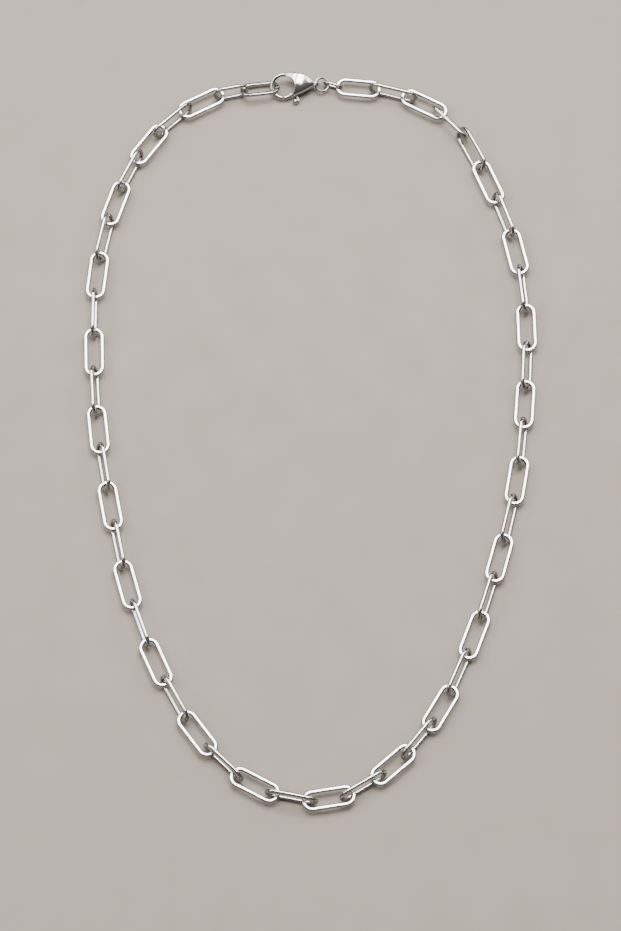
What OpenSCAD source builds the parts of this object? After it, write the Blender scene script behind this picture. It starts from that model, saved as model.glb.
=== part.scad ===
// Paperclip chain necklace with a lobster clasp, lying closed on a table as a whole loop.
// Long oval links, by turns flat and up on their edge, run anticlockwise from the clasp's hook
// round to a small connecting link, a jump ring and the clasp's tail.

/* [Links] */
// Length of a link over its outer ends
link_len = 12.4; // [10.6:0.1:14]
// Width of a link over its outer sides
link_w = 4.9; // [4.6:0.1:6]
// Width of the flattened wire, seen from above on a flat link
wire_w = 1; // [0.8:0.05:1.1]
// Thickness of the flattened wire
wire_t = 0.85; // [0.7:0.05:1]
// Play along the chain between two taut links
link_play = 0.4; // [0.35:0.05:0.6]
// Length of the shorter link that the clasp hooks
hooked_len = 9.8; // [9:0.1:11]
// Length of the short link next to it
short_len = 8.8; // [8.4:0.1:9.6]
// Length of the last link, which the small connecting link holds
last_len = 11.2; // [10.8:0.1:12.4]
// How far the middle of a flat link hangs below half a link's width
flat_drop = 0.55; // [0.3:0.05:0.7]

/* [Clasp] */
// Radius of the clasp's ring to the middle of its wire
ring_r = 2.82; // [2.7:0.02:3.2]
// Thickness of the ring's round wire
hook_wire = 1; // [0.9:0.05:1.15]
// Length of the clasp from the ring's centre to the body's tip
body_reach = 7.7; // [7:0.1:8]
// Thickness of the puffed body at its crown
body_t = 3.7; // [3.6:0.1:3.9]
// Height of the tip above the ring's centre line
tip_rise = 0.45; // [0:0.05:0.6]
// Metal round the hole of the eye at the tail
eye_wire = 0.35; // [0.3:0.05:0.5]
// Thickness of that eye
eye_t = 0.8; // [0.6:0.05:1]
// Width of the hole through that eye
eye_hole = 0.9; // [0.85:0.05:1.1]

/* [Lever] */
// Thickness of the lever where it turns in the body
lever_t = 1; // [0.8:0.05:1.1]
// Thickness of the pin that it turns on
pin_d = 0.6; // [0.5:0.05:0.7]
// Radius of the lever's hub
hub_r = 0.62; // [0.56:0.01:0.7]
// Thickness of the ball on the thumb piece
knob_d = 1.35; // [1.2:0.05:1.6]
// Reach of the thumb piece from the pin to the ball's middle
knob_reach = 1.7; // [1.6:0.05:2]
// Play round the pin, measured on the radius
pin_play = 0.04; // [0.02:0.01:0.06]
// Gap between the lever's end and the hook's end
seam = 0.1; // [0.06:0.01:0.2]
// Gap between the lever's flat faces and the slot
slot_play = 0.12; // [0.08:0.01:0.2]

/* [Rings] */
// Outer width of the jump ring
jump_d = 3.9; // [3.7:0.05:4.1]
// Wire of the jump ring
jump_wire = 0.6; // [0.55:0.05:0.65]
// Length of the small connecting link
joiner_len = 5.1; // [5:0.1:5.6]
// Width of the small connecting link
joiner_w = 3.3; // [3.1:0.1:3.5]
// Wire of the small connecting link
joiner_wire = 0.7; // [0.6:0.05:0.8]

/* [Hidden] */
$fn = 64;
silver = [0.86, 0.86, 0.87];

// The chain's way round, in millimetres: the middle of every second link, then of the connecting
// link. They are chosen for links that stand route_pitch apart when taut, and grow with the pitch.
route = [
    [-12.5, 87.3], [-27, 83.7], [-39.4, 72.5], [-47.1, 57], [-51.1, 38.2], [-51.3, 18.5], [-49.9, -1],
    [-46.6, -19.7], [-42.3, -38.8], [-35.4, -57.3], [-25.8, -74], [-12.8, -86], [4.3, -89.2],
    [18.8, -81.2], [29.7, -68.2], [37.7, -50.8], [43.8, -32.4], [48.4, -13.5], [50.6, 5.3],
    [51.6, 24.7], [49.5, 44.3], [43.2, 62.4], [34.5, 78.7], [20.6, 86.2], [2.6, 87.8]
];
route_pitch = 10;
// Where the first two joints lie along the way, in steps of the route's points
first_joints = [0.24, 0.7];
// Headings of the first and the last link, which the clasp and the rings pull straight
end_headings = [-173, 174.5];
// Points of the route between which its end moves, so that it always meets the rings
moved_from = 12;
moved_to = 22;
// Lean of the links on edge, in degrees from flat, in the order in which they come
leans = [80, 80, 77, 65, 84, 73, 70, 72, 80, 72, 82, 86, 79, 76, 69, 69, 65, 69, 60, 70, 74, 55];
// The last few links carry a twist: their own turns about the chain, in degrees from flat
last_turns = [66, 0, -85, 0];
// Links from the first up to this one lean outwards with their upper wire, and the next inwards
last_outward = 12;
last_inward = 40;
// Turn of the link in the clasp's hook, so that the hook passes through it
hooked_turn = 26;
// How far that link's middle lies below the ring's
hooked_drop = 0.1;

pitch = link_len - 2 * wire_w - link_play;
route_size = pitch / route_pitch;
links = 2 * (len(route) - 1);
places = len(route);

function moved_share(n) = max(0, min(1, (n - moved_from) / (moved_to - moved_from)));
function at(n, move) = route[(n + places) % places] * route_size + [move * moved_share(n), 0];
function blend(a, b, c, d, u) =
    ((2 * b) + (c - a) * u + (2 * a - 5 * b + 4 * c - d) * u * u
    + (3 * b - a - 3 * c + d) * u * u * u) / 2;
// A point of the smooth way at t steps of the route's points, with its end moved along X
function moved_way(t, move) =
    let (n = floor(t))
    blend(at(n - 1, move), at(n, move), at(n + 1, move), at(n + 2, move), t - n);
function way(t) = moved_way(t, route_move);

// Joint k lies between link k and link k + 1
function joint_t(k) = k <= len(first_joints) ? first_joints[k - 1] : k / 2 - 0.25;
function along(a) = [cos(a), sin(a)];
// From a link's middle to its joint with the next one
function half_pitch(length) = length / 2 - wire_w - link_play / 2;
function middle(k) =
    k == 1 ? moved_way(joint_t(1), 0) - half_pitch(hooked_len) * along(end_headings[0])
    : k == links ? way(joint_t(k - 1)) + half_pitch(last_len) * along(end_headings[1])
    : (way(joint_t(k - 1)) + way(joint_t(k))) / 2;
function heading(k) =
    k == 1 ? end_headings[0]
    : k == links ? end_headings[1]
    : let (d = way(joint_t(k)) - way(joint_t(k - 1))) atan2(d[1], d[0]);

// Turn of link k about the chain: 0 is flat, and a positive turn lifts the side within the loop
first_twisted = links - len(last_turns) + 1;
function lean_side(k) = k <= last_outward ? -1 : k <= last_inward ? 1 : -1;
function turn(k) =
    k == 1 ? hooked_turn
    : k >= first_twisted ? last_turns[k - first_twisted]
    : k % 2 == 1 ? 0
    : leans[k / 2 - 1] * lean_side(k);

function span(k) = k == 1 ? hooked_len : k == 2 ? short_len : k == links ? last_len : link_len;

// How far the wire's section reaches below its middle when its link leans by a
function reach(a) =
    wire_w * cos(a) <= wire_t ? wire_w / 2
    : sqrt(wire_w * wire_w - wire_t * wire_t) / 2 * sin(a) + wire_t / 2 * cos(a);
function rest_height(a) = (link_w - wire_w) / 2 * sin(a) + reach(a);
flat_height = link_w / 2 - flat_drop;
function height(k) =
    k == 1 ? max(clasp_height - hooked_drop, rest_height(hooked_turn))
    : turn(k) == 0 ? flat_height
    : rest_height(abs(turn(k)));

// The clasp's own frame has the ring's centre at the origin and its tail along +X. It lies on one
// cheek, rolled about that line by this angle
clasp_roll = 18;
// Gap between the hook's wire and the end of the link in it
hook_gap = 0.4;
hooked_end = middle(1) - (hooked_len - wire_w) / 2 * along(heading(1));
clasp_at = hooked_end + ((wire_w + hook_wire) / 2 + hook_gap - ring_r) * along(heading(1));

// The body's outline: its brow runs from over the ring to the tip, its jaw from under the ring
brow_start = [0.1, ring_r + hook_wire / 4];
brow_r = 11;
jaw_start = [1.5, -ring_r - hook_wire / 4];
jaw_r = 30;
tip_half = 0.4;
// The crown of its puffed faces, and their radius
crown = [3.4, 0.2];
crown_r = 7.5;
crown_drop = crown_r - body_t / 2;
clasp_height = crown_r - crown_drop * cos(clasp_roll) - crown[1] * sin(clasp_roll);
// The hook grows out of the body here and ends at the seam, both as angles round the ring
hook_root = 38;
seam_slant = 28;
seam_at = 270;
// How far the body's cheek stands back from the inside of the ring's wire
cheek_back = 0.03;
pin_at = [3, -2];
slot_t = max(lever_t, hook_wire) + 2 * slot_play;
// The slot leaves the body between these angles round the pin
slot_fan = [118, 150, 180, 215, 250, 292];
arm_root = -39;
// How far the ring's wire is drawn past the middle of the seam, before its end is cut
seam_reach = 16;
stem_d = 0.56;
elbow_at = pin_at + [0.75, -1.5];
elbow_d = 0.62;
knob_at = pin_at + [-0.05, -knob_reach];
// How far the eye's middle lies past the tip
eye_past = 0.15;
tail_eye_x = body_reach + eye_past;

// The jump ring hangs in the eye and dips away from it, and the connecting link stands on edge.
// The chain's end is moved so that its last link meets them
jump_r = (jump_d - jump_wire) / 2;
jump_dip = 15;
jump_drop = jump_r * sin(jump_dip);
jump_x = tail_eye_x + jump_r * cos(jump_dip);
// The far side of the jump ring's wire, seen from above, and its height
jump_far = clasp_at
    + [jump_x + jump_r * cos(jump_dip), tip_rise * cos(clasp_roll) + 2 * jump_drop * sin(clasp_roll)];
jump_far_height = clasp_height + tip_rise * sin(clasp_roll) - 2 * jump_drop * cos(clasp_roll);
// The last link's end stands this far from the jump ring's wire, middle to middle, along X
joiner_play = 0.7;
joiner_room = joiner_len - 2 * joiner_wire - (jump_wire + wire_w) / 2 - joiner_play;
last_reach = (last_len - wire_w) / 2 + half_pitch(last_len);
last_joint_x = jump_far[0] + joiner_room - last_reach * cos(end_headings[1]);
route_move = last_joint_x - moved_way(joint_t(links - 1), 0)[0];
last_end = middle(links) + (last_len - wire_w) / 2 * along(heading(links));
joiner_at = (jump_far + last_end) / 2;
joiner_way = last_end - jump_far;
joiner_heading = atan2(joiner_way[1], joiner_way[0]);
// The connecting link leans towards the inside of the loop by this angle
joiner_lean = 12;
joiner_rest = (joiner_w - joiner_wire) / 2 * cos(joiner_lean) + joiner_wire / 2;
// It rides this share of the way up from the jump ring's wire to the last link
joiner_ride = 0.9;
joiner_height =
    max(joiner_rest, (1 - joiner_ride) * jump_far_height + joiner_ride * flat_height);

// Middle of a circle of radius r that passes a and then b, clockwise
function round_middle(a, b, r) =
    let (d = b - a, n = norm(d)) (a + b) / 2 + sqrt(r * r - n * n / 4) / n * [d[1], -d[0]];

// An oval link along X in the XY plane
module oval(len, w, wire, thick) {
    bend = (w - wire) / 2;
    run = (len - w) / 2;
    for (side = [0, 180])
        rotate([0, 0, side]) {
            translate([run, 0, 0])
                rotate([0, 0, -90])
                    rotate_extrude(angle = 180) translate([bend, 0]) wire_section(wire, thick);
            translate([-run, bend, 0])
                rotate([90, 0, 90])
                    linear_extrude(2 * run) wire_section(wire, thick);
        }
}

// Round wire with its two faces pressed flat
module wire_section(wire, thick) {
    if (thick < wire)
        intersection() {
            circle(d = wire);
            square([2 * wire, thick], center = true);
        }
    else
        circle(d = wire);
}

module chain() {
    color(silver)
        for (k = [1 : links])
            translate([middle(k)[0], middle(k)[1], height(k)])
                rotate([turn(k), 0, heading(k)])
                    oval(span(k), link_w, wire_w, wire_t);
}

module puffed_outline() {
    brow_end = [body_reach, tip_rise + tip_half];
    jaw_end = [body_reach, tip_rise - tip_half];
    difference() {
        intersection() {
            translate(round_middle(brow_start, brow_end, brow_r)) circle(brow_r);
            translate(round_middle(jaw_end, jaw_start, jaw_r)) circle(jaw_r);
            translate([brow_start[0], -2 * ring_r]) square([body_reach, 4 * ring_r]);
        }
        circle(ring_r - hook_wire / 2 + cheek_back);
    }
}

// The space between the two puffed faces of the body
module puffed_space() {
    intersection() {
        translate([crown[0], crown[1], -crown_drop]) sphere(crown_r);
        translate([crown[0], crown[1], crown_drop]) sphere(crown_r);
    }
}

// What the slanted seam takes off the hook's end (1) or off the lever's end (-1)
module seam_cut(side) {
    size = 2 * hook_wire;
    translate(ring_r * along(seam_at))
        rotate([0, 0, seam_slant])
            translate([side > 0 ? -seam / 2 : seam / 2 - size, -size / 2, -size / 2])
                cube(size);
}

module ring_wire(start, sweep) {
    rotate([0, 0, start]) rotate_extrude(angle = sweep) translate([ring_r, 0]) circle(d = hook_wire);
}

module lever_slot() {
    translate([0, 0, -slot_t / 2])
        linear_extrude(slot_t) {
            translate(pin_at) circle(hub_r + slot_play);
            polygon(concat([pin_at], [for (a = slot_fan) pin_at + 2 * ring_r * along(a)]));
        }
}

module clasp_body_plain() {
    difference() {
        union() {
            intersection() {
                translate([0, 0, -body_t]) linear_extrude(2 * body_t) puffed_outline();
                puffed_space();
            }
            tail_eye(eye_hole / 2 + eye_wire, eye_t);
        }
        lever_slot();
        tail_eye(eye_hole / 2, 2 * body_t);
    }
    translate([pin_at[0], pin_at[1], -slot_t]) cylinder(h = 2 * slot_t, d = pin_d);
    difference() {
        ring_wire(hook_root, seam_at + seam_reach - hook_root);
        seam_cut(1);
    }
}

// A disc on edge round the middle of the eye at the tail
module tail_eye(r, t) {
    translate([tail_eye_x, tip_rise + t / 2, 0]) rotate([90, 0, 0]) cylinder(h = t, r = r);
}

module clasp_lever_plain() {
    difference() {
        union() {
            difference() {
                ring_wire(seam_at - seam_reach, 360 + arm_root - seam_at + seam_reach);
                seam_cut(-1);
            }
            translate([pin_at[0], pin_at[1], -lever_t / 2]) cylinder(h = lever_t, r = hub_r);
            rod(pin_at, elbow_at, stem_d);
            rod(elbow_at, knob_at, stem_d);
            translate(elbow_at) sphere(d = elbow_d);
            translate(knob_at) sphere(d = knob_d);
        }
        translate([pin_at[0], pin_at[1], -lever_t]) cylinder(h = 2 * lever_t, r = pin_d / 2 + pin_play);
    }
}

// A round rod in the clasp's middle plane
module rod(a, b, d) {
    way = b - a;
    translate(a) rotate([0, 90, atan2(way[1], way[0])]) cylinder(h = norm(way), d = d);
}

module in_place() {
    translate([clasp_at[0], clasp_at[1], clasp_height]) rotate([clasp_roll, 0, 0]) children();
}

module clasp_body() {
    color(silver) in_place() clasp_body_plain();
}

module clasp_lever() {
    color(silver) in_place() clasp_lever_plain();
}

module jump_ring() {
    color(silver)
        in_place()
            translate([jump_x, tip_rise, -jump_drop])
                rotate([0, jump_dip, 0])
                    rotate_extrude() translate([jump_r, 0]) circle(d = jump_wire);
}

module connector_link() {
    color(silver)
        translate([joiner_at[0], joiner_at[1], joiner_height])
            rotate([90 + joiner_lean, 0, joiner_heading])
                oval(joiner_len, joiner_w, joiner_wire, joiner_wire);
}

chain();
clasp_body();
clasp_lever();
jump_ring();
connector_link();
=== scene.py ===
"""Paperclip chain necklace with a lobster clasp, lying closed on a pale table.

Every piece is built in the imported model's own frame. Sizes in the classes are in millimetres, and
each mesh is scaled to metres when it is finished.
"""

import enum
import logging
import math
from collections.abc import Callable
from dataclasses import dataclass

import bmesh
import bpy
import numpy as np
from bpy.types import Material, Mesh, NodeSocket, NodeTree, Object
from mathutils import Matrix, Vector

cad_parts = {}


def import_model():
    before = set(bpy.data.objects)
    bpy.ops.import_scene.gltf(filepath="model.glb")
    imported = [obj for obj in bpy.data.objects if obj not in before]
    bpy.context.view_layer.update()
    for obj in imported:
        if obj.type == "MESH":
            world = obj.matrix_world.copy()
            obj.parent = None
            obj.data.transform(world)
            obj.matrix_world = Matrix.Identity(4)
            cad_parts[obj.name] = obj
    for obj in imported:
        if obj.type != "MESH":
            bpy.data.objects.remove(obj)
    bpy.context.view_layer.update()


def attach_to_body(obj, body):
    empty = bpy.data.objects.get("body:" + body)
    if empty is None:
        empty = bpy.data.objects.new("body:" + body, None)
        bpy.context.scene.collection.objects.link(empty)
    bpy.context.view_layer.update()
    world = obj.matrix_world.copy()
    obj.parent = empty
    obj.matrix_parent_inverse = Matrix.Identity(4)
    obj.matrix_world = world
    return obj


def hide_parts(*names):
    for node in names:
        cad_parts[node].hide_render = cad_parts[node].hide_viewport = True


LOG = logging.getLogger("necklace")
MM = 0.001
# The Z of a face's normal where the painted shade of the sides starts, and where it is full.
SIDE_START = 0.93
SIDE_FULL = 0.60

Point = tuple[float, float]
Triple = tuple[float, float, float]
Field3 = Callable[[np.ndarray], np.ndarray]


# Nodes


class NodeMaker:
    """Adds nodes to a tree."""

    def __init__(self, tree: NodeTree) -> None:
        """Keeps the tree."""
        self.tree = tree

    def node(
        self,
        kind: str,
        settings: dict[str, object] | None = None,
        inputs: dict[str | int, object] | None = None,
        output: str | int = 0,
    ) -> NodeSocket:
        """Adds a node.

        Args:
            kind: the node's type.
            settings: its properties.
            inputs: values, or sockets to link.
            output: the output socket to return.

        Returns:
            That output.
        """
        made = self.tree.nodes.new(kind)
        for key, value in (settings or {}).items():
            setattr(made, key, value)
        for key, value in (inputs or {}).items():
            plain = value.socket if isinstance(value, Socket) else value
            if isinstance(plain, NodeSocket):
                self.tree.links.new(plain, made.inputs[key])
            else:
                made.inputs[key].default_value = plain
        return made.outputs[output]


class Socket:
    """A shader node's output socket, with the arithmetic that the finishes use."""

    def __init__(self, maker: "ShaderMaker", socket: NodeSocket) -> None:
        """Keeps the socket and the maker that adds further nodes."""
        self.maker = maker
        self.socket = socket

    def _math(self, operation: str, *values: "Socket | float") -> "Socket":
        """The result of one Math node with some inputs, in order."""
        inputs = dict(enumerate(values))
        return self.maker.node("ShaderNodeMath", {"operation": operation}, inputs)

    def __add__(self, other: "Socket | float") -> "Socket":
        """This value plus another."""
        return self._math("ADD", self, other)

    def __mul__(self, other: "Socket | float") -> "Socket":
        """This value times another."""
        return self._math("MULTIPLY", self, other)

    __radd__ = __add__

    def clamped(self, low: float, high: float) -> "Socket":
        """This value, kept between two numbers."""
        return self._math("MINIMUM", self._math("MAXIMUM", self, low), high)


class ShaderMaker(NodeMaker):
    """Builds one material's nodes."""

    def __init__(self, name: str) -> None:
        """Starts a material with its Principled shader."""
        self.material = bpy.data.materials.new(name)
        self.material.use_nodes = True
        super().__init__(self.material.node_tree)
        self.shader = self.tree.nodes["Principled BSDF"]

    def node(self, *args: object, **kwargs: object) -> Socket:
        """Adds a node, as NodeMaker does, and wraps its output."""
        return Socket(self, super().node(*args, **kwargs))

    def place(self) -> Socket:
        """Object coordinates."""
        return self.node("ShaderNodeTexCoord", output="Object")

    def attribute(self, name: str) -> Socket:
        """The value of one of the mesh's own attributes, as a number."""
        return self.node("ShaderNodeAttribute", {"attribute_name": name}, output="Fac")

    def stretched(self, scale: Triple, turn: float) -> Socket:
        """Object coordinates, scaled and turned about Z.

        Args:
            scale: the scale along each axis.
            turn: the turn in degrees.

        Returns:
            The coordinates.
        """
        turned = (0.0, 0.0, math.radians(turn))
        inputs = {"Vector": self.place(), "Scale": scale, "Rotation": turned}
        return self.node("ShaderNodeMapping", inputs=inputs)

    def noise(
        self, scale: float, detail: float, rough: float = 0.5, where: Socket | None = None
    ) -> Socket:
        """Noise from 0 to 1.

        Args:
            scale: its scale, in cells per metre.
            detail: its octaves.
            rough: how strongly the finer octaves count.
            where: its coordinates; without them, object coordinates.

        Returns:
            The noise.
        """
        inputs = {"Scale": scale, "Detail": detail, "Roughness": rough}
        inputs["Vector"] = where or self.place()
        return self.node("ShaderNodeTexNoise", {"noise_dimensions": "3D"}, inputs, "Fac")

    def ramp(self, value: Socket, start: float, end: float) -> Socket:
        """A value spread so that one level becomes 0 and a higher one becomes 1.

        Args:
            value: the value, from 0 to 1.
            start: the level that becomes 0.
            end: the level that becomes 1.

        Returns:
            The spread value.
        """
        spread = self.node("ShaderNodeValToRGB", None, {"Fac": value}, "Color")
        for element, place in zip(spread.socket.node.color_ramp.elements, (start, end)):
            element.position = place
        return spread

    def tint(self, share: Socket, plain: "Socket | Triple", other: Triple) -> Socket:
        """A mix of two colours.

        Args:
            share: how much of the second colour.
            plain: the first colour.
            other: the second colour.

        Returns:
            The mixed colour.
        """
        first = plain if isinstance(plain, Socket) else (*plain, 1.0)
        inputs = {0: share, 6: first, 7: (*other, 1.0)}
        return self.node("ShaderNodeMix", {"data_type": "RGBA"}, inputs, 2)

    def link(self, value: Socket, name: str) -> None:
        """Links a value to the shader."""
        self.tree.links.new(value.socket, self.shader.inputs[name])


@dataclass(frozen=True)
class Noise:
    """The scale, the octaves and the roughness of one noise."""

    scale: float
    detail: float
    rough: float = 0.5

    def field(self, m: ShaderMaker) -> Socket:
        """The noise over object coordinates."""
        return m.noise(self.scale, self.detail, self.rough)


@dataclass(frozen=True)
class Polish:
    """Polished silver with fine scratches, rubbed joints, a light tarnish, and painted shade that
    darkens the sides turned away from up.
    """

    name: str
    color: Triple = (0.93, 0.925, 0.915)
    cloud: Noise = Noise(260.0, 4.0, 0.6)
    grime: Noise = Noise(700.0, 3.0)
    grime_range: Point = (0.50, 0.78)
    tarnish: Triple = (0.62, 0.585, 0.53)
    tarnish_share: float = 0.16
    tarnish_limit: float = 0.6
    # Painted shade: the dark colour that sides turned away from up are mixed towards, its share,
    # and how it varies.
    painted_side_shade: Triple = (0.20, 0.195, 0.19)
    side_share: float = 0.80
    side_least: float = 0.7
    side_spread: float = 0.5
    rough: float = 0.085
    rough_spread: float = 0.10
    rough_limits: Point = (0.04, 0.5)
    rub_share: float = 0.22
    worn_rough: float = 0.10
    scratch_scale: float = 900.0
    scratch_turns: Point = (24.0, 101.0)
    scratch_squash: Triple = (1.0, 0.06, 1.0)
    scratch_finer: float = 4.0
    scratch_jag: float = 0.7
    scratch_range: Point = (0.66, 0.72)
    patch_range: Point = (0.45, 0.62)
    scratch_depth: float = 0.000012
    ripple: Noise = Noise(420.0, 1.0)
    ripple_depth: float = 0.00006

    def make(self) -> Material:
        """Builds the material.

        Returns:
            The material.
        """
        m = ShaderMaker(self.name)
        m.shader.inputs["Metallic"].default_value = 1.0
        cloud = self.cloud.field(m)
        grime = m.ramp(self.grime.field(m), *self.grime_range)
        rub = m.attribute("rub")
        dull = (grime * self.tarnish_share + rub * self.rub_share).clamped(0.0, self.tarnish_limit)
        worn = m.tint(dull, self.color, self.tarnish)
        # Painted shade: faces whose normals turn away from up (the "side" attribute) are mixed
        # towards a dark colour.
        patchy = cloud * self.side_spread + self.side_least
        painted_shade_share = (m.attribute("side") * patchy * self.side_share).clamped(0.0, 1.0)
        m.link(m.tint(painted_shade_share, worn, self.painted_side_shade), "Base Color")
        first, second = (self._scratches(m, turn) for turn in self.scratch_turns)
        hair = first + second
        rough = self.rough + cloud * self.rough_spread + (hair + rub) * self.worn_rough
        m.link(rough.clamped(*self.rough_limits), "Roughness")
        relief = self.ripple.field(m) * self.ripple_depth + hair * -self.scratch_depth
        inputs = {"Strength": 1.0, "Distance": 1.0, "Height": relief}
        m.link(m.node("ShaderNodeBump", inputs=inputs, output="Normal"), "Normal")
        return m.material

    def _scratches(self, m: ShaderMaker, turn: float) -> Socket:
        """Fine hairlines in one direction.

        Args:
            m: the material's maker.
            turn: their direction in degrees.

        Returns:
            1 in a scratch and 0 beside it.
        """
        where = m.stretched(self.scratch_squash, turn)
        lines = m.noise(self.scratch_scale * self.scratch_finer, 2.0, self.scratch_jag, where)
        patches = m.ramp(m.noise(self.scratch_scale, 1.0), *self.patch_range)
        return m.ramp(lines, *self.scratch_range) * patches


@dataclass(frozen=True)
class TableTop:
    """The pale, matt surface that the necklace lies on."""

    name: str = "pale_table"
    color: Triple = (0.50, 0.44, 0.37)
    shade: Triple = (0.44, 0.385, 0.32)
    grain: Noise = Noise(90.0, 5.0, 0.6)
    rough: float = 0.55
    rough_spread: float = 0.2

    def make(self) -> Material:
        """Builds the material.

        Returns:
            The material.
        """
        m = ShaderMaker(self.name)
        grain = self.grain.field(m)
        m.link(m.tint(grain, self.color, self.shade), "Base Color")
        m.link((self.rough + grain * self.rough_spread).clamped(0.0, 1.0), "Roughness")
        return m.material


# Geometry nodes


class GeometryMaker(NodeMaker):
    """Builds one Geometry Nodes tree and turns its result into a plain mesh."""

    def __init__(self, name: str) -> None:
        """Starts a tree with a geometry input and output."""
        super().__init__(bpy.data.node_groups.new(name, "GeometryNodeTree"))
        self.sizes: dict[str, float] = {}
        self._socket("Geometry", "INPUT", "NodeSocketGeometry")
        self._socket("Geometry", "OUTPUT", "NodeSocketGeometry")
        self.start = self.tree.nodes.new("NodeGroupInput")
        self.end = self.tree.nodes.new("NodeGroupOutput")

    def _socket(self, name: str, direction: str, kind: str) -> None:
        """Adds a socket to the tree's interface."""
        self.tree.interface.new_socket(name=name, in_out=direction, socket_type=kind)

    def size(self, name: str, value: float) -> NodeSocket:
        """Adds a named input for a size.

        Args:
            name: the input's name.
            value: its value.

        Returns:
            The socket that carries it.
        """
        self._socket(name, "INPUT", "NodeSocketFloat")
        self.sizes[name] = value
        return self.start.outputs[name]

    def maths(self, operation: str, *values: object) -> NodeSocket:
        """The result of one Math node with some inputs, in order."""
        return self.node("ShaderNodeMath", {"operation": operation}, dict(enumerate(values)))

    def part(self, vector: NodeSocket, axis: str) -> NodeSocket:
        """A vector's part along one axis."""
        return self.node("ShaderNodeSeparateXYZ", inputs={"Vector": vector}, output=axis)

    def position(self, axis: str) -> NodeSocket:
        """The position field's part along one axis."""
        return self.part(self.node("GeometryNodeInputPosition"), axis)

    def share(self, value: NodeSocket, start: float, end: float) -> NodeSocket:
        """A value spread from 0 at one level to 1 at another, and kept between them.

        Args:
            value: the value.
            start: the level that becomes 0.
            end: the level that becomes 1.

        Returns:
            The share.
        """
        inputs = {"Value": value, "From Min": start, "From Max": end}
        return self.node("ShaderNodeMapRange", inputs=inputs)

    def named(self, kind: str, name: str) -> NodeSocket:
        """One of the mesh's own attributes, of a kind of data."""
        return self.node("GeometryNodeInputNamedAttribute", {"data_type": kind}, {"Name": name})

    def stored(self, mesh: NodeSocket, name: str, value: NodeSocket) -> NodeSocket:
        """Stores a number at each point of a mesh.

        Args:
            mesh: the mesh.
            name: the attribute's name.
            value: its value.

        Returns:
            The mesh with the attribute.
        """
        settings = {"data_type": "FLOAT", "domain": "POINT"}
        inputs = {"Geometry": mesh, "Name": name, "Value": value}
        return self.node("GeometryNodeStoreNamedAttribute", settings, inputs)

    def on_points(self, shape: NodeSocket, chosen: object = True) -> NodeSocket:
        """Puts a shape on the tree's own points, turned by their "turn".

        Args:
            shape: the shape at the origin.
            chosen: which points take it.

        Returns:
            The instances.
        """
        inputs = {
            "Points": self.start.outputs["Geometry"],
            "Selection": chosen,
            "Instance": shape,
            "Rotation": self.named("FLOAT_VECTOR", "turn"),
        }
        return self.node("GeometryNodeInstanceOnPoints", inputs=inputs)

    def joined(self, parts: list[NodeSocket]) -> NodeSocket:
        """Joins several geometries."""
        join = self.tree.nodes.new("GeometryNodeJoinGeometry")
        for part in reversed(parts):
            self.tree.links.new(part, join.inputs[0])
        return join.outputs[0]

    def finish(self, name: str, seed: Mesh, result: NodeSocket, finish: Material) -> Object:
        """Evaluates the tree on a mesh and keeps the result as a plain object.

        Args:
            name: the piece's name.
            seed: the mesh that the tree starts from.
            result: the geometry that the piece becomes.
            finish: its material.

        Returns:
            The piece.
        """
        real = self.node("GeometryNodeRealizeInstances", inputs={"Geometry": result})
        # Painted shade: stores "side", which grows as a face's normal turns away from up, to darken
        # it.
        level = self.part(self.node("GeometryNodeInputNormal"), "Z")
        sided = self.stored(real, "side", self.share(level, SIDE_START, SIDE_FULL))
        inputs = {"Geometry": sided, "Material": finish}
        dressed = self.node("GeometryNodeSetMaterial", inputs=inputs)
        self.tree.links.new(dressed, self.end.inputs["Geometry"])
        host = bpy.data.objects.new(name, seed)
        bpy.context.scene.collection.objects.link(host)
        modifier = host.modifiers.new(name, "NODES")
        modifier.node_group = self.tree
        for item in self.tree.interface.items_tree:
            if item.in_out == "INPUT" and item.name in self.sizes:
                modifier[item.identifier] = float(self.sizes[item.name])
        evaluated = host.evaluated_get(bpy.context.evaluated_depsgraph_get())
        mesh = bpy.data.meshes.new_from_object(evaluated)
        mesh.name = name
        mesh.transform(Matrix.Scale(MM, 4))
        host.modifiers.clear()
        host.data = mesh
        bpy.data.meshes.remove(seed)
        return host


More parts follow.
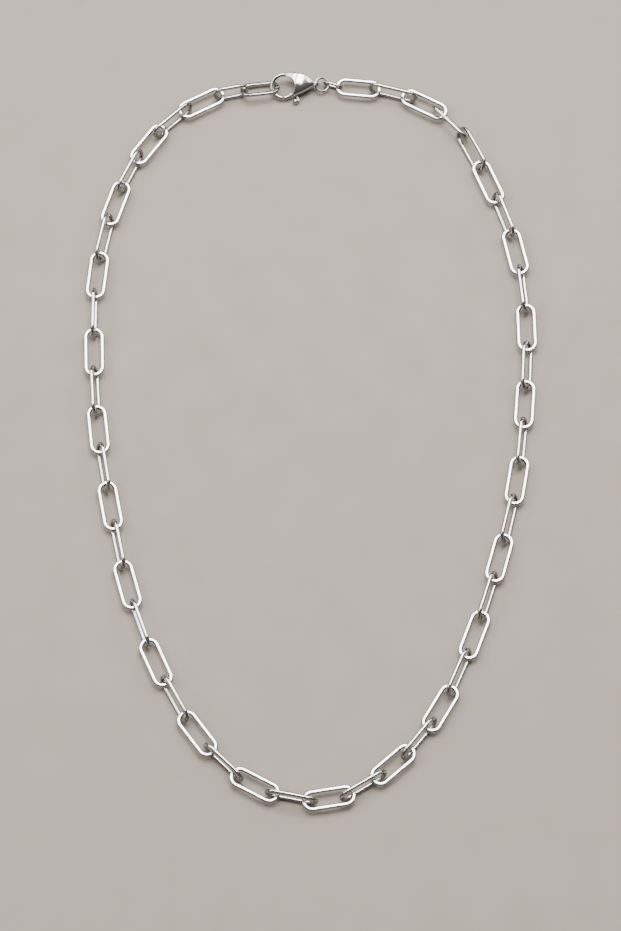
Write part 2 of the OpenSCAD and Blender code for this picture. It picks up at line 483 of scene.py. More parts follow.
@dataclass(frozen=True)
class WireLink:
    """An oval link of wire: its section is round, with its two faces pressed flat."""

    width: float
    wire: float
    thick: float
    steps: int = 64
    section_steps: int = 28
    corner: float = 0.06
    rub_depth: Point = (0.05, 0.35)
    rub_reach: Point = (0.3, 0.8)

    def draw(self, geo: GeometryMaker, label: str, span: float) -> NodeSocket:
        """Adds the nodes of one link along X in the XY plane.

        Args:
            geo: the tree's maker.
            label: the start of the names of the tree's inputs.
            span: the link's length.

        Returns:
            The link's mesh.
        """
        length = geo.size(f"{label} length", span)
        width = geo.size(f"{label} width", self.width)
        wire = geo.size(f"{label} wire", self.wire)
        thick = geo.size(f"{label} thickness", self.thick)
        bend = geo.maths("MULTIPLY", geo.maths("SUBTRACT", width, wire), 0.5)
        run = geo.maths("MULTIPLY", geo.maths("SUBTRACT", length, width), 0.5)
        shift = geo.maths("MULTIPLY", geo.maths("SIGN", geo.position("X")), run)
        offset = geo.node("ShaderNodeCombineXYZ", inputs={"X": shift})
        inputs = {"Geometry": self._circle(geo, self.steps, bend), "Offset": offset}
        path = geo.node("GeometryNodeSetPosition", inputs=inputs)
        path = geo.node("GeometryNodeSetCurveNormal", {"mode": "Z_UP"}, {"Curve": path})
        inputs = {"Curve": path, "Profile Curve": self._section(geo, wire, thick)}
        return self._rubbed(geo, geo.node("GeometryNodeCurveToMesh", inputs=inputs), run, bend)

    @staticmethod
    def _circle(geo: GeometryMaker, steps: int, radius: NodeSocket) -> NodeSocket:
        """A circle's curve in the XY plane."""
        inputs = {"Resolution": steps, "Radius": radius}
        return geo.node("GeometryNodeCurvePrimitiveCircle", inputs=inputs)

    def _section(self, geo: GeometryMaker, wire: NodeSocket, thick: NodeSocket) -> NodeSocket:
        """The wire's section, with soft corners where the flats meet the round sides.

        Args:
            geo: the tree's maker.
            wire: the wire's width.
            thick: its thickness between the flats.

        Returns:
            The section's curve.
        """
        circle = self._circle(geo, self.section_steps, geo.maths("MULTIPLY", wire, 0.5))
        top = geo.maths("MULTIPLY", thick, 0.5)
        low = geo.maths("MULTIPLY", thick, -0.5)
        flat = geo.maths("SMOOTH_MIN", geo.position("Y"), top, self.corner)
        flat = geo.maths("SMOOTH_MAX", flat, low, self.corner)
        place = geo.node("ShaderNodeCombineXYZ", inputs={"X": geo.position("X"), "Y": flat})
        return geo.node("GeometryNodeSetPosition", inputs={"Geometry": circle, "Position": place})

    def _rubbed(
        self, geo: GeometryMaker, tube: NodeSocket, run: NodeSocket, bend: NodeSocket
    ) -> NodeSocket:
        """Stores where the next link rubs: the inner side of each end.

        Args:
            geo: the tree's maker.
            tube: the link's mesh.
            run: half its straight length.
            bend: its bend's radius.

        Returns:
            The smooth-shaded mesh with its "rub" attribute.
        """
        beyond = geo.maths("SUBTRACT", geo.maths("ABSOLUTE", geo.position("X")), run)
        squares = (geo.maths("POWER", part, 2.0) for part in (beyond, geo.position("Y")))
        out = geo.maths("SQRT", geo.maths("ADD", *squares))
        inner = geo.share(geo.maths("SUBTRACT", bend, out), *self.rub_depth)
        near_end = geo.share(geo.maths("DIVIDE", beyond, bend), *self.rub_reach)
        stored = geo.stored(tube, "rub", geo.maths("MULTIPLY", inner, near_end))
        return geo.node("GeometryNodeSetShadeSmooth", inputs={"Geometry": stored})


# Skins of cast pieces


def smooth_min(a: np.ndarray, b: np.ndarray, soft: float) -> np.ndarray:
    """The lower of two distances, with a fillet.

    Args:
        a: the first distances.
        b: the second distances.
        soft: the fillet's size.

    Returns:
        The blended distances.
    """
    h = np.clip(0.5 + 0.5 * (b - a) / soft, 0.0, 1.0)
    return b + (a - b) * h - soft * h * (1.0 - h)


def smooth_max(a: np.ndarray, b: np.ndarray, soft: float) -> np.ndarray:
    """The higher of two distances, with a rounded edge."""
    return -smooth_min(-a, -b, soft)


@dataclass
class Skin:
    """Turns a solid, given as distances from its surface, into a smooth closed mesh."""

    solid: Field3
    low: Triple
    high: Triple
    step: float
    reach_share: float = 0.1
    pulls: int = 5
    least_slope: float = 0.2

    def _gradient(self, points: np.ndarray) -> np.ndarray:
        """The distance's gradient at some points."""
        reach = self.step * self.reach_share
        parts = []
        for axis in range(3):
            shift = np.zeros(3)
            shift[axis] = reach
            parts.append((self.solid(points + shift) - self.solid(points - shift)) / (2.0 * reach))
        return np.stack(parts, -1)

    def _net(self) -> tuple[np.ndarray, np.ndarray]:
        """Lays a net of quads over the surface.

        Returns:
            The vertices and the quads.
        """
        axes = [np.arange(a, b + self.step, self.step) for a, b in zip(self.low, self.high)]
        shape = tuple(len(a) for a in axes)
        values = np.empty(shape)
        y, z = np.meshgrid(axes[1], axes[2], indexing="ij")
        for i, x in enumerate(axes[0]):
            layer = np.stack([np.full(y.shape, x), y, z], -1)
            values[i] = self.solid(layer.reshape(-1, 3)).reshape(y.shape)
        inside = values < 0.0
        total = np.zeros((*shape, 3))
        count = np.zeros(shape, int)
        crossings = []
        for axis in range(3):
            low = [slice(None)] * 3
            high = [slice(None)] * 3
            low[axis], high[axis] = slice(0, -1), slice(1, None)
            edge = np.argwhere(inside[tuple(low)] != inside[tuple(high)])
            after = edge.copy()
            after[:, axis] += 1
            va, vb = values[tuple(edge.T)], values[tuple(after.T)]
            place = edge.astype(float)
            place[:, axis] += va / (va - vb)
            u, v = (axis + 1) % 3, (axis + 2) % 3
            cells = []
            for du, dv in ((1, 1), (0, 1), (0, 0), (1, 0)):
                cell = edge.copy()
                cell[:, u] -= du
                cell[:, v] -= dv
                np.add.at(total, tuple(cell.T), place)
                np.add.at(count, tuple(cell.T), 1)
                cells.append(np.ravel_multi_index(tuple(cell.T), shape))
            crossings.append((np.stack(cells, -1), inside[tuple(edge.T)]))
        used = np.flatnonzero(count)
        number = np.full(count.size, -1)
        number[used] = np.arange(len(used))
        points = total.reshape(-1, 3)[used] / count.reshape(-1, 1)[used]
        points = points * self.step + np.array(self.low)
        quads = []
        for cells, out in crossings:
            corners = number[cells]
            quads.append(np.where(out[:, None], corners, corners[:, ::-1]))
        return points, np.concatenate(quads)

    def mesh(self, name: str, place: Matrix, rub: Field3 | None = None) -> Mesh:
        """Builds the mesh, with its vertices on the surface and its normals square to it.

        Args:
            name: the mesh's name.
            place: where the solid's own frame stands, in millimetres.
            rub: where the surface is worn, from 0 to 1.

        Returns:
            The mesh in metres.
        """
        points, quads = self._net()
        for _ in range(self.pulls):
            slope = self._gradient(points)
            size = np.maximum((slope**2).sum(-1), self.least_slope)
            pull = (self.solid(points) / size)[:, None] * slope
            points = points - np.clip(pull, -self.step / 2, self.step / 2)
        normals = self._gradient(points)
        normals /= np.linalg.norm(normals, axis=-1, keepdims=True)
        mesh = bpy.data.meshes.new(name)
        turn = np.array(place.to_3x3())
        mesh.from_pydata((points @ turn.T + np.array(place.translation)) * MM, [], quads.tolist())
        mesh.shade_smooth()
        facing = normals @ turn.T
        mesh.normals_split_custom_set_from_vertices(facing.tolist())
        # Painted shade: "side" grows as a face's normal turns away from up, to darken it.
        shade = np.clip((SIDE_START - facing[:, 2]) / (SIDE_START - SIDE_FULL), 0.0, 1.0)
        worn = rub(points) if rub else np.zeros(len(points))
        for label, values in (("rub", worn), ("side", shade)):
            mesh.attributes.new(label, "FLOAT", "POINT").data.foreach_set("value", values)
        mesh.validate()
        return mesh


# Pieces


def along(angle: float) -> np.ndarray:
    """The unit vector in the XY plane at an angle in degrees."""
    return np.array([math.cos(math.radians(angle)), math.sin(math.radians(angle))])


def ball(points: np.ndarray, middle: Triple, radius: float) -> np.ndarray:
    """Distances from a ball."""
    return np.linalg.norm(points - np.array(middle), axis=-1) - radius


def disc(points: np.ndarray, middle: Point | np.ndarray, radius: float) -> np.ndarray:
    """Distances from an endless round bar along Z."""
    return np.linalg.norm(points[:, :2] - np.array(middle), axis=-1) - radius


def rod(points: np.ndarray, a: np.ndarray, b: np.ndarray, radius: float) -> np.ndarray:
    """Distances from a round rod with round ends.

    Args:
        points: where to measure.
        a: the middle of one end in the XY plane.
        b: the middle of the other end.
        radius: the rod's radius.

    Returns:
        The distances.
    """
    start, way = np.append(a, 0.0), np.append(b - a, 0.0)
    share = np.clip(((points - start) @ way) / (way @ way), 0.0, 1.0)
    return np.linalg.norm(points - start - share[:, None] * way, axis=-1) - radius


def placed_points(name: str, points: list[Triple], turns: list[float]) -> Mesh:
    """A mesh of loose points, each with its turn as three angles."""
    mesh = bpy.data.meshes.new(name)
    mesh.from_pydata(points, [], [])
    mesh.attributes.new("turn", "FLOAT_VECTOR", "POINT").data.foreach_set("vector", turns)
    return mesh


def add_piece(name: str, mesh: Mesh, finish: Material) -> Object:
    """Adds a mesh in metres to the scene as a piece."""
    mesh.materials.clear()
    mesh.materials.append(finish)
    piece = bpy.data.objects.new(name, mesh)
    bpy.context.scene.collection.objects.link(piece)
    return piece


class LinkKind(enum.Enum):
    """The four lengths of link."""

    HOOKED = 1
    SHORT = 2
    LONG = 3
    LAST = 4


@dataclass
class Chain:
    """The long run of links, by turns flat on the table and up on their edge."""

    link: WireLink = WireLink(width=4.9, wire=1.0, thick=0.85)
    length: float = 12.4
    play: float = 0.4
    hooked_length: float = 9.8
    short_length: float = 8.8
    last_length: float = 11.2
    flat_drop: float = 0.55
    hooked_turn: float = 26.0
    hooked_height: float = 1.96473
    route_pitch: float = 10.0
    route_move: float = -0.245
    moved_points: tuple[int, int] = (12, 22)
    route: tuple[Point, ...] = (
        (-12.5, 87.3), (-27, 83.7), (-39.4, 72.5), (-47.1, 57), (-51.1, 38.2), (-51.3, 18.5),
        (-49.9, -1), (-46.6, -19.7), (-42.3, -38.8), (-35.4, -57.3), (-25.8, -74), (-12.8, -86),
        (4.3, -89.2), (18.8, -81.2), (29.7, -68.2), (37.7, -50.8), (43.8, -32.4), (48.4, -13.5),
        (50.6, 5.3), (51.6, 24.7), (49.5, 44.3), (43.2, 62.4), (34.5, 78.7), (20.6, 86.2),
        (2.6, 87.8),
    )
    first_joints: Point = (0.24, 0.7)
    joint_back: float = 0.25
    end_headings: Point = (-173.0, 174.5)
    leans: tuple[float, ...] = (
        80, 80, 77, 65, 84, 73, 70, 72, 80, 72, 82, 86, 79, 76, 69, 69, 65, 69, 60, 70, 74, 55,
    )
    last_turns: tuple[float, ...] = (66, 0, -85, 0)
    last_outward: int = 12
    last_inward: int = 40

    def count(self) -> int:
        """How many links there are."""
        return 2 * (len(self.route) - 1)

    def route_point(self, n: int) -> np.ndarray:
        """A point of the route, whose end is moved along X to meet the rings.

        Args:
            n: the point's number, which may run past either end.

        Returns:
            The point in millimetres.
        """
        pitch = self.length - 2 * self.link.wire - self.play
        first, last = self.moved_points
        share = max(0.0, min(1.0, (n - first) / (last - first)))
        point = np.array(self.route[n % len(self.route)]) * pitch / self.route_pitch
        return point + np.array([self.route_move * share, 0.0])

    def way(self, t: float) -> np.ndarray:
        """A point of the smooth way.

        Args:
            t: how far round, in steps of the route's points.

        Returns:
            The point in millimetres.
        """
        n = math.floor(t)
        a, b, c, d = (self.route_point(n + i) for i in (-1, 0, 1, 2))
        u = t - n
        bend = (2 * a - 5 * b + 4 * c - d) * u**2 + (3 * b - a - 3 * c + d) * u**3
        return (2 * b + (c - a) * u + bend) / 2

    def joint(self, k: int) -> np.ndarray:
        """Where link k meets the next."""
        known = k <= len(self.first_joints)
        return self.way(self.first_joints[k - 1] if known else k / 2 - self.joint_back)

    def half_pitch(self, length: float) -> float:
        """The way from a link's middle to its joint with the next one."""
        return length / 2 - self.link.wire - self.play / 2

    def place(self, k: int) -> tuple[np.ndarray, float]:
        """Link k's middle in the XY plane, and its heading.

        Args:
            k: the link's number, from 1 at the clasp.

        Returns:
            The middle in millimetres and the heading in radians.
        """
        if k == 1:
            heading = self.end_headings[0]
            middle = self.joint(1) - self.half_pitch(self.hooked_length) * along(heading)
            return middle, math.radians(heading)
        if k == self.count():
            heading = self.end_headings[1]
            middle = self.joint(k - 1) + self.half_pitch(self.last_length) * along(heading)
            return middle, math.radians(heading)
        start, end = self.joint(k - 1), self.joint(k)
        return (start + end) / 2, math.atan2(*(end - start)[::-1])

    def turn(self, k: int) -> float:
        """Link k's turn about the chain, in degrees from flat.

        Args:
            k: the link's number, from 1 at the clasp.

        Returns:
            The turn; a positive one lifts the side within the loop.
        """
        first_of_last = self.count() - len(self.last_turns)
        if k == 1:
            return self.hooked_turn
        if k > first_of_last:
            return self.last_turns[k - first_of_last - 1]
        if k % 2:
            return 0.0
        inward = self.last_outward < k <= self.last_inward
        return self.leans[k // 2 - 1] * (1 if inward else -1)

    def kind(self, k: int) -> LinkKind:
        """Which of the four lengths link k has."""
        named = {1: LinkKind.HOOKED, 2: LinkKind.SHORT, self.count(): LinkKind.LAST}
        return named.get(k, LinkKind.LONG)

    def rest_height(self, lean: float) -> float:
        """How high a leaning link's middle stands when it rests on the table.

        Args:
            lean: its lean in degrees.

        Returns:
            The height in millimetres.
        """
        wire, thick = self.link.wire, self.link.thick
        a = math.radians(lean)
        reach = wire / 2
        if wire * math.cos(a) > thick:
            reach = math.sqrt(wire**2 - thick**2) / 2 * math.sin(a) + thick / 2 * math.cos(a)
        return (self.link.width - wire) / 2 * math.sin(a) + reach

    def height(self, k: int) -> float:
        """The height of link k's middle."""
        if k == 1:
            return self.hooked_height
        if self.turn(k) == 0:
            return self.link.width / 2 - self.flat_drop
        return self.rest_height(abs(self.turn(k)))

    def seed(self) -> Mesh:
        """A mesh of one point for each link, with its turn and its kind."""
        points, turns, kinds = [], [], []
        for k in range(1, self.count() + 1):
            middle, heading = self.place(k)
            points.append((*middle, self.height(k)))
            turns += [math.radians(self.turn(k)), 0.0, heading]
            kinds.append(self.kind(k).value)
        mesh = placed_points("link_places", points, turns)
        mesh.attributes.new("kind", "INT", "POINT").data.foreach_set("value", kinds)
        return mesh

    def build(self, finish: Material) -> Object:
        """Builds every link of the chain as one piece."""
        geo = GeometryMaker("chain_links")
        kind = geo.named("INT", "kind")
        spans = {
            LinkKind.HOOKED: self.hooked_length,
            LinkKind.SHORT: self.short_length,
            LinkKind.LONG: self.length,
            LinkKind.LAST: self.last_length,
        }
        runs = []
        for which, span in spans.items():
            settings = {"data_type": "INT", "operation": "EQUAL"}
            chosen = geo.node("FunctionNodeCompare", settings, {2: kind, 3: which.value})
            shape = self.link.draw(geo, f"{which.name.capitalize()} link", span)
            runs.append(geo.on_points(shape, chosen))
        return geo.finish("chain_links", self.seed(), geo.joined(runs), finish)


@dataclass
class Clasp:
    """The lobster clasp: its cast body with the hook, and the lever that closes it.

    Its own frame has the ring's centre at the origin and its tail along +X.
    """

    at: Triple = (-6.61851, 87.97741, 2.06473)
    roll: float = 18.0
    ring_r: float = 2.82
    wire: float = 1.0
    body_reach: float = 7.7
    body_t: float = 3.7
    tip_rise: float = 0.45
    eye_wire: float = 0.35
    eye_t: float = 0.8
    eye_hole: float = 0.9
    eye_past: float = 0.15
    lever_t: float = 1.0
    pin_d: float = 0.6
    hub_r: float = 0.62
    knob_d: float = 1.35
    knob_reach: float = 1.7
    pin_play: float = 0.04
    seam: float = 0.1
    slot_play: float = 0.12
    brow_start: Point = (0.1, 3.07)
    brow_end: Point = (7.35, 1.25)
    brow_r: float = 7.5
    top_reach: float = 3.22
    jaw_start: Point = (1.5, -3.07)
    jaw_r: float = 30.0
    tip_half: float = 0.4
    crown: Point = (3.4, 0.2)
    crown_r: float = 7.5
    hook_root: float = 80.0
    arm_root: float = -39.0
    seam_slant: float = 28.0
    cheek_back: float = 0.03
    throat_r: float = 2.3
    throat: tuple[Point, Point] = ((0.48, 0.0), (0.38, -0.75))
    cheek_corner: Point = (2.3, -1.0)
    pin_at: Point = (3.0, -2.0)
    slot_ends: Point = (118.0, 292.0)
    stem_d: float = 0.56
    elbow: Point = (0.75, -1.5)
    elbow_d: float = 0.62
    knob_side: float = -0.05
    # The two grooves: where they run, how deep they are, and the Y where they start and are full.
    groove_half: float = 0.1
    crease_at: Point = (8.0, 0.6)
    crease_r: float = 5.1
    crease_deep: float = 0.16
    crease_y: Point = (0.5, 1.1)
    notch_at: float = 0.48
    notch_deep: float = 0.38
    notch_y: Point = (1.0, 1.5)
    core_r: float = 0.26
    core_end: float = 62.0
    # How far the edges and the fillets are rounded.
    edge: float = 0.22
    top_edge: float = 0.3
    jaw_edge: float = 0.9
    throat_edge: float = 0.12
    slot_edge: float = 0.06
    seam_edge: float = 0.32
    eye_edge: float = 0.15
    bore_edge: float = 0.05
    fillet: float = 0.1
    eye_fillet: float = 0.25
    core_fillet: float = 0.06
    stem_fillet: float = 0.08
    knob_fillet: float = 0.12
    # The boxes that the two skins are netted in, with the net's step.
    body_net: tuple[Triple, Triple, float] = ((-3.67, -3.69, -2.085), (9.1, 3.8, 2.1), 0.06)
    lever_net: tuple[Triple, Triple, float] = ((-0.7, -5.1, -0.9), (4.4, -0.9, 0.9), 0.045)
    worn_from: float = 1.0

    def frame(self) -> Matrix:
        """Where the clasp's own frame stands, in millimetres."""
        return Matrix.Translation(self.at) @ Matrix.Rotation(math.radians(self.roll), 4, "X")

    def _ring(self, p: np.ndarray) -> np.ndarray:
        """Distances from the whole ring of round wire."""
        return np.hypot(disc(p, (0.0, 0.0), self.ring_r), p[:, 2]) - self.wire / 2

    def _past_seam(self, p: np.ndarray) -> np.ndarray:
        """How far a point lies past the middle of the slanted seam, on the lever's side."""
        return (p[:, :2] - np.array([0.0, -self.ring_r])) @ along(self.seam_slant)

    def _past_ray(self, p: np.ndarray, angle: float, centre: Point = (0.0, 0.0)) -> np.ndarray:
        """How far a point lies anticlockwise of a ray from a centre."""
        return (p[:, :2] - np.array(centre)) @ along(angle + 90.0)

    def _bow(self, p: np.ndarray, a: Point, b: Point, r: float) -> np.ndarray:
        """Distances from a round bar of radius r whose circle passes a and then b, clockwise."""
        start, end = np.array(a), np.array(b)
        d = end - start
        n = np.linalg.norm(d)
        middle = (start + end) / 2 + math.sqrt(r * r - n * n / 4) / n * np.array([d[1], -d[0]])
        return disc(p, middle, r)

    def _puffed(self, p: np.ndarray) -> np.ndarray:
        """Distances from the puffed body, before its slot."""
        jaw_end = (self.body_reach, self.tip_rise - self.tip_half)
        brow = self._bow(p, self.brow_start, self.brow_end, self.brow_r)
        jaw = self._bow(p, jaw_end, self.jaw_start, self.jaw_r)
        drop = self.crown_r - self.body_t / 2
        upper, lower = (ball(p, (*self.crown, side * drop), self.crown_r) for side in (-1, 1))
        outline = smooth_max(brow, self.notch_at - p[:, 0], self.edge)
        skin = smooth_max(outline, smooth_max(upper, lower, self.edge), self.edge)
        skin = smooth_max(skin, jaw, self.jaw_edge)
        roll = math.radians(self.roll)
        reach = p[:, 1] * math.cos(roll) - p[:, 2] * math.sin(roll) - self.top_reach
        skin = smooth_max(skin, reach, self.top_edge)
        return smooth_max(skin, -self._throat(p), self.throat_edge)

    def _throat(self, p: np.ndarray) -> np.ndarray:
        """Distances from the open inside of the ring, up to the cheeks."""
        hole = disc(p, (0.0, 0.0), self.ring_r - self.wire / 2 + self.cheek_back)
        start, end = (np.array(point) for point in self.throat)
        level = p * np.array([1.0, 1.0, 0.0])
        corner = np.maximum(p[:, 0] - self.cheek_corner[0], p[:, 1] - self.cheek_corner[1])
        return np.minimum(np.minimum(hole, rod(level, start, end, self.throat_r)), corner)

    def _slot(self, p: np.ndarray) -> np.ndarray:
        """Distances from the slot that the lever turns in."""
        first, last = (self._past_ray(p, angle, self.pin_at) for angle in self.slot_ends)
        hub = disc(p, self.pin_at, self.hub_r + self.slot_play)
        half = max(self.lever_t, self.wire) / 2 + self.slot_play
        return np.maximum(np.minimum(hub, np.maximum(-first, last)), np.abs(p[:, 2]) - half)

    def _eye(self, p: np.ndarray, radius: float) -> np.ndarray:
        """Distances from a long round bar through the eye at the tail."""
        return np.hypot(p[:, 0] - self.body_reach - self.eye_past, p[:, 2]) - radius

    def _groove(self, p: np.ndarray, off: np.ndarray, deep: float, ends: Point) -> np.ndarray:
        """The depth of a groove across the ring's arm.

        Args:
            p: where to measure.
            off: how far each point is from the groove's middle.
            deep: the groove's depth.
            ends: the Y where it starts, and where it is full.

        Returns:
            The depths.
        """
        near = np.clip((p[:, 1] - ends[0]) / (ends[1] - ends[0]), 0.0, 1.0)
        return deep * near * np.exp(-((off / self.groove_half) ** 2))

    def _core(self, p: np.ndarray) -> np.ndarray:
        """Distances from the core of the ring's wire, which goes on under the notch."""
        past = np.maximum(-self._past_ray(p, self.core_end), -p[:, 1])
        return np.maximum(self._ring(p) + self.wire / 2 - self.core_r, past)

    def body_solid(self, p: np.ndarray) -> np.ndarray:
        """Distances from the cast body with its hook and tail eye."""
        slotted = smooth_max(self._puffed(p), -self._slot(p), self.slot_edge)
        flat = np.abs(p[:, 1] - self.tip_rise) - self.eye_t / 2
        eye = smooth_max(self._eye(p, self.eye_hole / 2 + self.eye_wire), flat, self.eye_edge)
        body = smooth_min(slotted, eye, self.eye_fillet)
        body = smooth_max(body, -self._eye(p, self.eye_hole / 2), self.fillet)
        root = -self._past_ray(p, self.hook_root)
        ends = np.minimum(self._past_seam(p) + self.seam / 2, root)
        whole = smooth_min(body, smooth_max(self._ring(p), ends, self.seam_edge), self.fillet)
        off = disc(p, self.crease_at, self.crease_r)
        crease = self._groove(p, off, self.crease_deep, self.crease_y)
        whole += crease * (p[:, 0] < self.crease_at[0])
        whole += self._groove(p, p[:, 0] - self.notch_at, self.notch_deep, self.notch_y)
        whole = smooth_min(whole, self._core(p), self.core_fillet)
        pin = disc(p, self.pin_at, self.pin_d / 2)
        return np.minimum(whole, np.maximum(pin, np.abs(p[:, 2]) - self.lever_t))

    def lever_solid(self, p: np.ndarray) -> np.ndarray:
        """Distances from the lever with its thumb piece."""
        ends = np.maximum(self.seam / 2 - self._past_seam(p), self._past_ray(p, self.arm_root))
        lever = smooth_max(self._ring(p), ends, self.seam_edge)
        flat = np.abs(p[:, 2]) - self.lever_t / 2
        hub = smooth_max(disc(p, self.pin_at, self.hub_r), flat, self.fillet)
        pin = np.array(self.pin_at)
        elbow = pin + np.array(self.elbow)
        knob = pin + np.array([self.knob_side, -self.knob_reach])
        thumb = rod(p, pin, elbow, self.stem_d / 2)
        for part, fillet in (
            (ball(p, (*elbow, 0.0), self.elbow_d / 2), self.stem_fillet),
            (rod(p, elbow, knob, self.stem_d / 2), self.stem_fillet),
            (ball(p, (*knob, 0.0), self.knob_d / 2), self.knob_fillet),
        ):
            thumb = smooth_min(thumb, part, fillet)
        lever = smooth_min(smooth_min(lever, hub, self.fillet), thumb, self.fillet)
        bore = disc(p, self.pin_at, self.pin_d / 2 + self.pin_play)
        return smooth_max(lever, -bore, self.bore_edge)

    def worn(self, p: np.ndarray) -> np.ndarray:
        """Where the ring is rubbed by the chain's end link."""
        inner = np.clip(-disc(p, (0.0, 0.0), self.ring_r) / (self.wire / 2), 0.0, 1.0)
        return inner * np.clip(-p[:, 0] - self.worn_from, 0.0, 1.0)

    def build_body(self, finish: Material) -> Object:
        """Builds the body's piece."""
        mesh = Skin(self.body_solid, *self.body_net).mesh("clasp_casting", self.frame(), self.worn)
        return add_piece("clasp_casting", mesh, finish)

    def build_lever(self, finish: Material) -> Object:
        """Builds the lever's piece."""
        mesh = Skin(self.lever_solid, *self.lever_net).mesh("clasp_thumb_lever", self.frame())
        return add_piece("clasp_thumb_lever", mesh, finish)


@dataclass
class EndRings:
    """The jump ring at the clasp's tail and the small link that joins it to the chain."""

    clasp: Clasp
    jump: WireLink = WireLink(width=3.9, wire=0.6, thick=0.6, steps=96, section_steps=32)
    jump_dip: float = 15.0
    joiner: WireLink = WireLink(width=3.3, wire=0.7, thick=0.7)
    joiner_length: float = 5.1
    joiner_at: Triple = (5.51904, 88.32196, 1.84915)
    joiner_heading: float = -17.52523
    joiner_turn: float = 102.0

    def jump_place(self) -> Matrix:
        """Where the jump ring stands: it hangs in the clasp's eye and dips away from it."""
        radius, dip = (self.jump.width - self.jump.wire) / 2, math.radians(self.jump_dip)
        eye = self.clasp.body_reach + self.clasp.eye_past
        middle = (eye + radius * math.cos(dip), self.clasp.tip_rise, -radius * math.sin(dip))
        return self.clasp.frame() @ Matrix.Translation(middle) @ Matrix.Rotation(dip, 4, "Y")

    def joiner_place(self) -> Matrix:
        """Where the connecting link stands: on edge, leaning into the loop."""
        heading = Matrix.Rotation(math.radians(self.joiner_heading), 4, "Z")
        turn = Matrix.Rotation(math.radians(self.joiner_turn), 4, "X")
        return Matrix.Translation(self.joiner_at) @ heading @ turn

    @staticmethod
    def _build(
        name: str, link: WireLink, span: float, place: Matrix, finish: Material
    ) -> Object:
        """Builds one link on its own.

        Args:
            name: the piece's name.
            link: the link's wire.
            span: its length.
            place: where it stands, in millimetres.
            finish: its material.

        Returns:
            The piece.
        """
        geo = GeometryMaker(name)
        turn = list(place.to_euler("XYZ"))
        seed = placed_points(f"{name}_place", [place.translation], turn)
        return geo.finish(name, seed, geo.on_points(link.draw(geo, "Link", span)), finish)

    def build_jump_ring(self, finish: Material) -> Object:
        """Builds the jump ring."""
        width = self.jump.width
        return self._build("jump_ring_wire", self.jump, width, self.jump_place(), finish)

    def build_joiner(self, finish: Material) -> Object:
        """Builds the small connecting link."""
        length = self.joiner_length
        return self._build("connector_wire", self.joiner, length, self.joiner_place(), finish)


# The table, the light and the camera


@dataclass(frozen=True)
class SoftBox:
    """A soft box of light, in metres and watts."""

    name: str
    place: Triple
    wide: float
    deep: float
    power: float


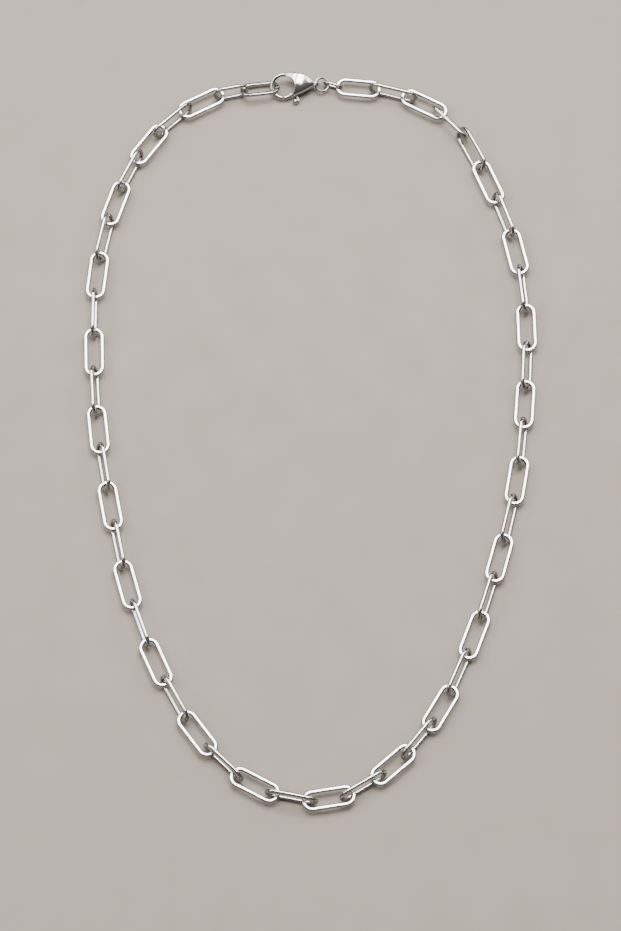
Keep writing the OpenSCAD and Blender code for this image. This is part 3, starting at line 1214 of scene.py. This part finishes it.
@dataclass
class Studio:
    """The pale table, the soft light and the camera, as in the photograph, in metres."""

    target: Triple = (0.0, -0.0092, 0.0)
    elevation: float = 71.5
    distance: float = 0.666
    lens: float = 109.82
    sensor: float = 36.0
    clip: Point = (0.01, 20.0)
    table_size: float = 2.4
    table_cells: int = 8
    table_drop: float = 0.00002
    boxes: tuple[SoftBox, ...] = (
        SoftBox("overhead_box", (0.05, 0.28, 0.80), 0.48, 0.50, 8.0),
        SoftBox("left_box", (-0.52, 0.22, 0.66), 1.00, 0.56, 5.0),
        SoftBox("right_box", (0.58, 0.42, 0.62), 0.50, 0.44, 2.6),
    )
    world_color: Triple = (1.0, 0.97, 0.94)
    world_light: float = 0.09

    def build(self) -> None:
        """Builds the whole studio."""
        self._table()
        for box in self.boxes:
            light = bpy.data.lights.new(box.name, "AREA")
            light.shape, light.energy = "RECTANGLE", box.power
            light.size, light.size_y = box.wide, box.deep
            place = Vector(box.place)
            self._aimed(light, place, Vector(self.target) - place)
        world = bpy.data.worlds.new("studio")
        world.use_nodes = True
        back = world.node_tree.nodes["Background"]
        back.inputs["Color"].default_value = (*self.world_color, 1.0)
        back.inputs["Strength"].default_value = self.world_light
        bpy.context.scene.world = world
        self._camera()

    def _table(self) -> None:
        """Builds the table's top."""
        mesh = bpy.data.meshes.new("table_top")
        made = bmesh.new()
        cells = self.table_cells
        bmesh.ops.create_grid(made, x_segments=cells, y_segments=cells, size=self.table_size / 2)
        made.to_mesh(mesh)
        made.free()
        mesh.transform(Matrix.Translation((0.0, 0.0, -self.table_drop)))
        add_piece("table_top", mesh, TableTop().make())

    @staticmethod
    def _aimed(data: bpy.types.ID, place: Vector, way: Vector) -> Object:
        """Adds a light or a camera.

        Args:
            data: the light or the camera, whose name the object takes.
            place: where it stands.
            way: the direction it looks in.

        Returns:
            The object.
        """
        made = bpy.data.objects.new(data.name, data)
        made.location = place
        made.rotation_mode = "QUATERNION"
        made.rotation_quaternion = way.to_track_quat("-Z", "Y")
        bpy.context.scene.collection.objects.link(made)
        return made

    def _camera(self) -> None:
        """Adds the camera."""
        camera = bpy.data.cameras.new("camera")
        camera.lens, camera.sensor_width = self.lens, self.sensor
        camera.clip_start, camera.clip_end = self.clip
        angle = math.radians(self.elevation)
        back = Vector((0.0, -math.cos(angle), math.sin(angle)))
        place = Vector(self.target) + back * self.distance
        bpy.context.scene.camera = self._aimed(camera, place, -back)


def attach(piece: Object, body: str, node: str) -> None:
    """Ties a piece to its body, hides the node it stands for, and reports it.

    Args:
        piece: the piece.
        body: the body it rides on.
        node: the node it stands for.
    """
    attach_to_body(piece, body)
    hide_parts(node)
    LOG.info("%s rides on %s, %d faces", piece.name, body, len(piece.data.polygons))


def main() -> None:
    """Builds the necklace and its studio."""
    logging.basicConfig(level=logging.INFO, format="%(name)s: %(message)s")
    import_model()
    clasp = Clasp()
    rings = EndRings(clasp)
    attach(Chain().build(Polish("chain_silver").make()), "necklace", "chain")
    cast = Polish("clasp_silver", rough=0.10, scratch_scale=1100.0).make()
    attach(clasp.build_body(cast), "necklace", "clasp_body")
    lever = Polish("lever_silver", color=(0.91, 0.905, 0.89), rough=0.13).make()
    attach(clasp.build_lever(lever), "lever", "clasp_lever")
    wire = Polish("ring_silver", rough=0.11).make()
    attach(rings.build_jump_ring(wire), "necklace", "jump_ring")
    attach(rings.build_joiner(wire), "necklace", "connector_link")
    Studio().build()


if __name__ == "__main__":
    main()
